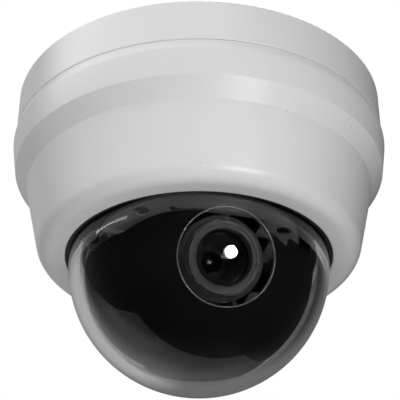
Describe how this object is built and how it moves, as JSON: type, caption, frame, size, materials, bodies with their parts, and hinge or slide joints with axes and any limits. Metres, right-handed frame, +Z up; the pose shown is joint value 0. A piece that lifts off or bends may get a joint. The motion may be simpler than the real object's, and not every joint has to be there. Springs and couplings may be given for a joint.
{
  "type": "security camera",
  "caption": "Ceiling dome security camera: stepped round housing with a clear bubble over a pan, tilt and roll gimbal that carries a varifocal lens behind a black shroud.",
  "frame": {"origin": "centre of the base's ceiling face", "axes": "+Z points up into the ceiling and the camera hangs towards -Z; -Y is the front, the side the pictured view is taken from; +X is to the right of a person who looks at the front"},
  "size_m": [0.1532, 0.1532, 0.127],
  "materials": {
    "white_housing": "fine satin, moulded",
    "white_base": "fine satin, moulded",
    "clear_bubble": "polished clear polycarbonate",
    "black_rubber": "matt",
    "black_trim": "fine matt texture",
    "grey_trim": "fine matt texture",
    "grey_platform": "satin",
    "steel_screws": "zinc plated",
    "spring_steel": "bright",
    "circuit_board": "solder mask",
    "chips": "moulded epoxy",
    "capacitor_cans": "satin",
    "terminal_green": "satin",
    "nickel": "nickel plated",
    "brass_posts": "turned",
    "white_nylon": "satin",
    "die_cast": "bead blasted",
    "lens_black": "anodised black look",
    "lens_grey": "satin anodised",
    "grip_plastic": "fine satin, ribbed",
    "polished_edge": "polished edge",
    "blackened_steel": "blackened",
    "lens_glass": "coated",
    "sensor": "glass window"
  },
  "bodies": {
    "base": {"mounting_base": "white_base", "cable_grommet": "black_rubber", "side_entry_plug": "white_base", "gimbal_drum": "black_trim", "drum_screws": "steel_screws", "pan_washer": "black_rubber", "power_board": "circuit_board", "board_standoffs": "brass_posts", "board_screws": "steel_screws", "terminal_block": "terminal_green", "terminal_screws": "steel_screws", "video_socket": "nickel", "board_chips": "chips", "board_capacitors": "capacitor_cans", "setup_switch": "chips"},
    "setup_button": {"setup_button": "white_nylon"},
    "cover": {"dome_cover": "white_housing", "dome_bubble": "clear_bubble", "dome_gasket": "black_rubber", "clamp_ring": "black_trim", "clamp_screws": "steel_screws", "cover_clips": "spring_steel", "clip_pads": "white_housing"},
    "pan": {"pan_platform": "grey_platform", "pan_retaining_ring": "black_trim", "pan_ring_screws": "steel_screws", "pan_lock_screws": "blackened_steel", "yoke_arm_left": "die_cast", "yoke_arm_right": "die_cast", "arm_screws": "steel_screws", "rear_liner": "grey_trim"},
    "tilt": {"tilt_cradle": "black_trim", "roll_clamp_ring": "black_trim", "roll_clamp_screws": "blackened_steel", "tilt_pivots": "steel_screws"},
    "tilt_lock": {"tilt_lock_knob": "black_trim"},
    "camera": {"lens_mount": "black_trim", "sensor_board": "circuit_board", "image_sensor": "sensor", "dsp_board": "circuit_board", "camera_board_spacers": "white_nylon", "camera_board_screws": "steel_screws", "dsp_chips": "chips", "harness_socket": "white_nylon", "lens_barrel": "lens_black", "rear_lens_glass": "lens_glass", "middle_lens_glass": "lens_glass", "shroud": "black_trim", "shroud_bracket": "black_trim", "aperture_ring": "polished_edge"},
    "zoom": {"zoom_ring": "grip_plastic", "zoom_lock_screw": "blackened_steel"},
    "focus": {"focus_ring": "grip_plastic", "front_ring": "lens_grey", "front_lens_glass": "lens_glass", "focus_lock_screw": "blackened_steel"}
  },
  "joints": [
    {"name": "cover_lift_off", "type": "slide", "parent": "base", "child": "cover", "axis": [0, 0, -1], "range_m": [0, 0.07]},
    {"name": "setup_press", "type": "slide", "parent": "base", "child": "setup_button", "axis": [0, 0, 1], "range_m": [0, 0.0007], "stiffness_N_per_m": 800, "springref_m": -0.0006},
    {"name": "pan_turn", "type": "hinge", "parent": "base", "child": "pan", "pos_m": [0, 0, -0.065], "axis": [0, 0, 1], "range_deg": [-175, 175]},
    {"name": "tilt_turn", "type": "hinge", "parent": "pan", "child": "tilt", "pos_m": [0, 0, -0.075], "axis": [0.9659, 0.2588, 0], "range_deg": [-6, 67.5]},
    {"name": "tilt_lock_turn", "type": "hinge", "parent": "tilt", "child": "tilt_lock", "pos_m": [0, 0, -0.075], "axis": [0.9659, 0.2588, 0], "range_deg": [-120, 120]},
    {"name": "roll_turn", "type": "hinge", "parent": "tilt", "child": "camera", "pos_m": [0, 0, -0.075], "axis": [0.2391, -0.8924, -0.3827], "range_deg": [-14, 14]},
    {"name": "zoom_turn", "type": "hinge", "parent": "camera", "child": "zoom", "pos_m": [0, 0, -0.075], "axis": [0.2391, -0.8924, -0.3827], "range_deg": [-45, 45]},
    {"name": "focus_turn", "type": "hinge", "parent": "camera", "child": "focus", "pos_m": [0, 0, -0.075], "axis": [0.2391, -0.8924, -0.3827], "range_deg": [-60, 60]}
  ]
}
